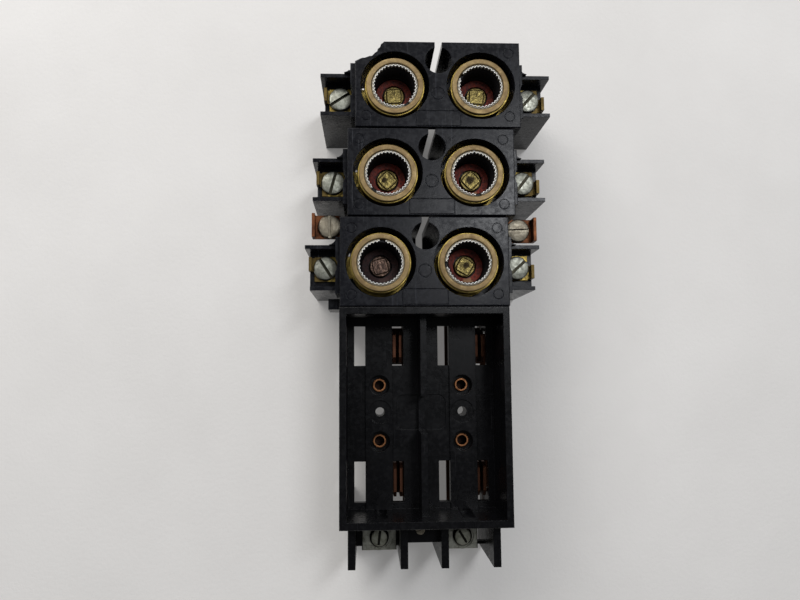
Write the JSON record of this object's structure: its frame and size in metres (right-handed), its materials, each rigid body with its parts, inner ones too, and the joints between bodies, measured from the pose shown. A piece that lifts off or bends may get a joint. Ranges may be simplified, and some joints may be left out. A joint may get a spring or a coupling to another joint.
{
  "type": "fuse block",
  "caption": "Black moulded fuse block with plug-fuse sockets, side screw terminals and an empty pull-out base with blade slots and line lugs.",
  "frame": {"origin": "centre of the block's footprint on the surface it lies on", "axes": "+Z out of the front faces, +Y towards the plug-fuse end, +X to the right seen from the front"},
  "size_m": [0.1328, 0.2748, 0.07],
  "materials": {
    "tray_phenolic": "worn semi-gloss",
    "module_phenolic": "worn semi-gloss",
    "liner_black": "matte",
    "shell_brass": "tarnished",
    "flange_brass": "dull tan brass",
    "ring_plated": "bright plated",
    "fibre_red": "fibre",
    "fibre_brown": "fibre",
    "contact_brass": "tarnished",
    "contact_dark": "dark tarnish",
    "screw_zinc": "dull zinc",
    "screw_nickel": "dull nickel",
    "lug_metal": "tin-plated, dull",
    "lug_screw_metal": "dull",
    "copper": "tarnished copper",
    "rivet_copper": "tarnished copper"
  },
  "bodies": {
    "block": {"pullout_housing": "tray_phenolic", "line_end_barriers": "tray_phenolic", "module_1_housing": "module_phenolic", "module_2_housing": "module_phenolic", "module_3_housing": "module_phenolic", "screw_shell_1_left": "shell_brass", "adapter_shell_1_left": "flange_brass", "adapter_ring_1_left": "ring_plated", "adapter_core_1_left": "liner_black", "adapter_disc_1_left": "fibre_red", "contact_button_1_left": "contact_brass", "screw_shell_1_right": "shell_brass", "adapter_shell_1_right": "flange_brass", "adapter_ring_1_right": "ring_plated", "adapter_core_1_right": "liner_black", "adapter_disc_1_right": "fibre_red", "contact_button_1_right": "contact_brass", "screw_shell_2_left": "shell_brass", "adapter_shell_2_left": "flange_brass", "adapter_ring_2_left": "ring_plated", "adapter_core_2_left": "liner_black", "adapter_disc_2_left": "fibre_red", "contact_button_2_left": "contact_brass", "screw_shell_2_right": "shell_brass", "adapter_shell_2_right": "flange_brass", "adapter_ring_2_right": "ring_plated", "adapter_core_2_right": "liner_black", "adapter_disc_2_right": "fibre_red", "contact_button_2_right": "contact_brass", "screw_shell_3_left": "shell_brass", "adapter_shell_3_left": "flange_brass", "adapter_ring_3_left": "ring_plated", "adapter_core_3_left": "liner_black", "adapter_disc_3_left": "fibre_brown", "contact_button_3_left": "contact_dark", "screw_shell_3_right": "shell_brass", "adapter_shell_3_right": "flange_brass", "adapter_ring_3_right": "ring_plated", "adapter_core_3_right": "liner_black", "adapter_disc_3_right": "fibre_red", "contact_button_3_right": "contact_brass", "contact_rivets": "rivet_copper", "line_strap_left": "copper", "bus_bar_left": "copper", "line_lug_left": "lug_metal", "line_strap_right": "copper", "bus_bar_right": "copper", "line_lug_right": "lug_metal", "tubular_rivets": "rivet_copper", "centre_screw": "screw_nickel"},
    "terminal_screw_1_left": {"terminal_screw_1_left": "screw_zinc"},
    "terminal_screw_1_right": {"terminal_screw_1_right": "screw_zinc"},
    "terminal_screw_2_left": {"terminal_screw_2_left": "screw_zinc"},
    "terminal_screw_2_right": {"terminal_screw_2_right": "screw_zinc"},
    "terminal_screw_3_left": {"terminal_screw_3_left": "screw_zinc"},
    "terminal_screw_3_right": {"terminal_screw_3_right": "screw_zinc"},
    "tap_screw_left": {"tap_screw_left": "screw_nickel"},
    "tap_screw_right": {"tap_screw_right": "screw_nickel"},
    "lug_screw_left": {"lug_screw_left": "lug_screw_metal"},
    "lug_screw_right": {"lug_screw_right": "lug_screw_metal"}
  },
  "joints": [
    {"name": "terminal_screw_1_left_travel", "type": "slide", "parent": "block", "child": "terminal_screw_1_left", "axis": [0, 0, 1], "range_m": [0, 0.005]},
    {"name": "terminal_screw_1_right_travel", "type": "slide", "parent": "block", "child": "terminal_screw_1_right", "axis": [0, 0, 1], "range_m": [0, 0.005]},
    {"name": "terminal_screw_2_left_travel", "type": "slide", "parent": "block", "child": "terminal_screw_2_left", "axis": [0, 0, 1], "range_m": [0, 0.005]},
    {"name": "terminal_screw_2_right_travel", "type": "slide", "parent": "block", "child": "terminal_screw_2_right", "axis": [0, 0, 1], "range_m": [0, 0.005]},
    {"name": "terminal_screw_3_left_travel", "type": "slide", "parent": "block", "child": "terminal_screw_3_left", "axis": [0, 0, 1], "range_m": [0, 0.005]},
    {"name": "terminal_screw_3_right_travel", "type": "slide", "parent": "block", "child": "terminal_screw_3_right", "axis": [0, 0, 1], "range_m": [0, 0.005]},
    {"name": "tap_screw_left_travel", "type": "slide", "parent": "block", "child": "tap_screw_left", "axis": [0, 0, 1], "range_m": [0, 0.005]},
    {"name": "tap_screw_right_travel", "type": "slide", "parent": "block", "child": "tap_screw_right", "axis": [0, 0, 1], "range_m": [0, 0.005]},
    {"name": "lug_screw_left_travel", "type": "slide", "parent": "block", "child": "lug_screw_left", "axis": [0, 0, 1], "range_m": [-0.003, 0.002]},
    {"name": "lug_screw_right_travel", "type": "slide", "parent": "block", "child": "lug_screw_right", "axis": [0, 0, 1], "range_m": [-0.003, 0.002]}
  ]
}
